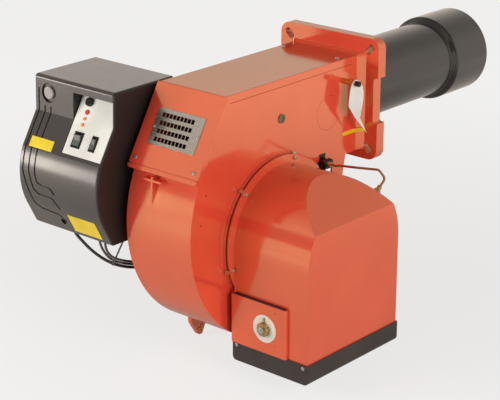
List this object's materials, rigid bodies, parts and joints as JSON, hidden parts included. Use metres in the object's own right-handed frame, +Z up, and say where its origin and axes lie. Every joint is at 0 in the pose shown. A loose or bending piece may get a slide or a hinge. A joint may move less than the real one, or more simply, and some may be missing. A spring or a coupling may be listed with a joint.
{
  "type": "industrial gas burner",
  "caption": "Monobloc forced-draught gas burner: welded fan housing, blast tube on a square flange, air-intake box with damper, control box with switches.",
  "frame": {"origin": "centre of the mounting flange's furnace-side face, on the axis of the blast tube", "axes": "+Y along the blast tube towards the furnace, +Z up, +X towards the air-intake box"},
  "size_m": [0.757, 1.281, 0.749],
  "materials": {
    "red_paint": "gloss",
    "black_paint": "gloss",
    "dark_band": "satin",
    "black_plastic": "satin",
    "switch_black": "gloss",
    "rocker_grey": "satin",
    "panel_white": "satin",
    "bright_steel": "satin",
    "galvanised": "satin",
    "aluminium": "satin",
    "brass": "satin",
    "copper": "satin",
    "dial_white": "satin",
    "rubber_black": "matt",
    "cable_grey": "matt",
    "cap_plastic": "satin",
    "card": "matt",
    "yellow_strap": "satin",
    "red_lens": "gloss",
    "amber_lens": "gloss",
    "button_lens": "gloss",
    "nylon_grey": "matt",
    "ceramic": "gloss"
  },
  "bodies": {
    "burner": {"amber_lamps": "amber_lens", "base_strip": "dark_band", "blanking_plugs": "red_paint", "blast_tube": "black_paint", "box_base": "galvanised", "box_screw": "bright_steel", "brass_fittings": "brass", "cable_glands": "black_plastic", "cable_tie": "cable_grey", "control_box_cover": "black_plastic", "control_panel": "panel_white", "copper_pipe": "copper", "cover_screws": "bright_steel", "damper_bushes": "brass", "dial_panel": "red_paint", "dial_scale": "dial_white", "fan_housing": "red_paint", "flame_controller": "nylon_grey", "front_cover": "red_paint", "fuse_holder": "switch_black", "gas_manifold": "red_paint", "hex_bolts": "bright_steel", "ignition_cable": "cable_grey", "ignition_transformer": "nylon_grey", "inlet_cone": "galvanised", "intake_box": "red_paint", "intake_gasket": "rubber_black", "intake_guard": "bright_steel", "intake_ring": "red_paint", "left_side_plate": "red_paint", "motor_body": "black_paint", "motor_cowl": "black_paint", "motor_flange": "black_paint", "motor_terminal_box": "black_paint", "mounting_flange": "red_paint", "nipple_caps": "cap_plastic", "paper_tag": "card", "power_cable": "rubber_black", "pressure_switch": "black_plastic", "probe_cable": "rubber_black", "red_lamp": "red_lens", "right_side_plate": "red_paint", "ring_screws": "bright_steel", "rocker_frames": "switch_black", "tag_strap": "yellow_strap", "top_cover": "red_paint", "vent_plate": "bright_steel", "vent_plate_screws": "bright_steel"},
    "rotor": {"fan_wheel": "aluminium", "motor_shaft": "bright_steel", "cooling_fan": "nylon_grey"},
    "damper": {"damper_shaft": "bright_steel", "damper_blade": "galvanised", "damper_knob": "brass"},
    "reset": {"reset_button": "button_lens"},
    "rocker_wide": {"large_rocker": "rocker_grey"},
    "rocker_narrow": {"small_rocker": "rocker_grey"},
    "head": {"gas_lance": "galvanised", "diffuser_disc": "galvanised", "electrodes": "ceramic"}
  },
  "joints": [
    {"name": "rotor_spin", "type": "hinge", "parent": "burner", "child": "rotor", "pos_m": [0, -0.363, -0.265], "axis": [1, 0, 0], "continuous": true},
    {"name": "damper_turn", "type": "hinge", "parent": "burner", "child": "damper", "pos_m": [0.228, -0.363, -0.434], "axis": [0, 1, 0], "range_deg": [0, 90]},
    {"name": "reset_push", "type": "slide", "parent": "burner", "child": "reset", "axis": [0, 1, 0], "range_m": [0, 0.003], "stiffness_N_per_m": 900, "springref_m": -0.002},
    {"name": "large_rocker_tilt", "type": "hinge", "parent": "burner", "child": "rocker_wide", "pos_m": [-0.227, -0.70345, -0.02208], "axis": [-1, 0, 0], "range_deg": [0, 18]},
    {"name": "small_rocker_tilt", "type": "hinge", "parent": "burner", "child": "rocker_narrow", "pos_m": [-0.172, -0.70315, -0.02158], "axis": [-1, 0, 0], "range_deg": [0, 18]},
    {"name": "head_adjust", "type": "slide", "parent": "burner", "child": "head", "axis": [0, 1, 0], "range_m": [0, 0.025]}
  ]
}
